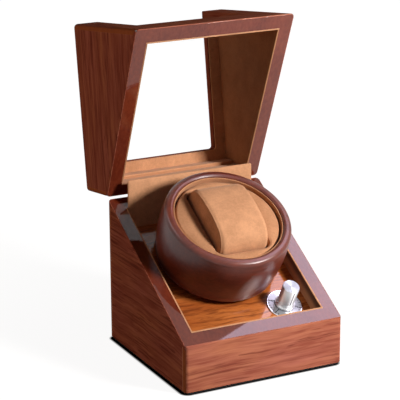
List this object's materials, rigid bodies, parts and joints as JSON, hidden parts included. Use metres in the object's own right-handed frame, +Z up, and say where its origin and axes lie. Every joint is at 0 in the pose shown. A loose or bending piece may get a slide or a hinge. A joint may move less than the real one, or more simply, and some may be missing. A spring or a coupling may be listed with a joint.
{
  "type": "watch winder",
  "caption": "Mahogany watch winder with a sloping seam: the windowed lid stands open over a turned drum with a suede cushion and a selector knob.",
  "frame": {"origin": "centre of the footprint, on the surface that the case stands on", "axes": "+Z up, -Y out of the low front side, +X to the right seen from the front"},
  "size_m": [0.15, 0.2165, 0.2908],
  "materials": {
    "veneer": "satin lacquer on mahogany veneer",
    "lipping": "polished lacquer on solid mahogany",
    "deck_veneer": "polished lacquer on mahogany veneer",
    "drum_wood": "satin gloss lacquer on turned mahogany, stained dark",
    "plain_board": "sanded, unfinished",
    "felt": "needled felt",
    "suede": "brushed suede",
    "clear_pane": "clear, polished",
    "aluminium": "turned, bright",
    "chrome": "polished",
    "brass": "polished",
    "steel": "zinc plated",
    "nylon": "moulded, natural",
    "black_plastic": "moulded, satin",
    "circuit_board": "solder mask"
  },
  "bodies": {
    "case": {"case_front": "veneer", "case_right_side": "veneer", "case_back": "veneer", "case_left_side": "veneer", "case_rim_lipping": "lipping", "bottom_board": "plain_board", "bottom_screws": "steel", "base_felt": "felt", "deck": "deck_veneer", "deck_battens": "plain_board", "case_linings": "suede", "back_lip_board": "suede", "thrust_washer": "nylon", "upper_bush": "nylon", "lower_bush": "nylon", "motor_plate": "steel", "plate_spacers": "aluminium", "plate_screws": "steel", "motor_gearbox": "steel", "motor_can": "steel", "selector_switch": "black_plastic", "dial_plate": "chrome", "selector_nut": "steel", "dc_jack": "black_plastic", "control_board": "circuit_board", "board_standoffs": "nylon", "board_leads": "black_plastic", "case_hinge_leaves": "brass", "hinge_pins": "steel", "case_hinge_screws": "brass"},
    "lid": {"lid_right_side": "veneer", "lid_left_side": "veneer", "lid_back": "veneer", "lid_front_rail": "veneer", "lid_top_stiles": "veneer", "lid_front_stiles": "veneer", "lid_top_rail": "veneer", "lid_rim_lipping": "lipping", "top_pane": "clear_pane", "front_pane": "clear_pane", "pane_retainers": "suede", "lid_side_linings": "suede", "lid_front_lining": "suede", "lid_back_lining": "suede", "lid_hinge_leaves": "brass", "lid_hinge_screws": "brass"},
    "drum": {"drum_shell": "drum_wood", "drum_hub": "aluminium", "hub_screws": "steel", "spindle": "steel", "spindle_clip": "steel", "spindle_gear": "nylon", "liner_ring": "suede", "cushion_plate": "suede"},
    "pinion": {"motor_shaft": "steel", "motor_pinion": "nylon"},
    "knob": {"selector_knob": "aluminium", "selector_shaft": "steel"},
    "cushion": {"watch_cushion": "suede"}
  },
  "joints": [
    {"name": "lid_hinge", "type": "hinge", "parent": "case", "child": "lid", "pos_m": [0, 0.0761, 0.12935], "axis": [1, 0, 0], "range_deg": [0, 97.94]},
    {"name": "drum_spin", "type": "hinge", "parent": "case", "child": "drum", "pos_m": [0, 0.00997, 0.09153], "axis": [0, -0.5028, 0.8644], "continuous": true},
    {"name": "pinion_spin", "type": "hinge", "parent": "case", "child": "pinion", "pos_m": [-0.0375, 0.00997, 0.09153], "axis": [0, -0.5028, 0.8644], "continuous": true},
    {"name": "knob_turn", "type": "hinge", "parent": "case", "child": "knob", "pos_m": [0.04, -0.04388, 0.0602], "axis": [0, -0.5028, 0.8644], "range_deg": [-120, 120]},
    {"name": "cushion_lift", "type": "slide", "parent": "drum", "child": "cushion", "axis": [0, 0.5028, -0.8644], "range_m": [-0.016, 0]}
  ],
  "couplings": [
    {"joint": "pinion_spin", "follows": "drum_spin", "ratio": -4}
  ]
}
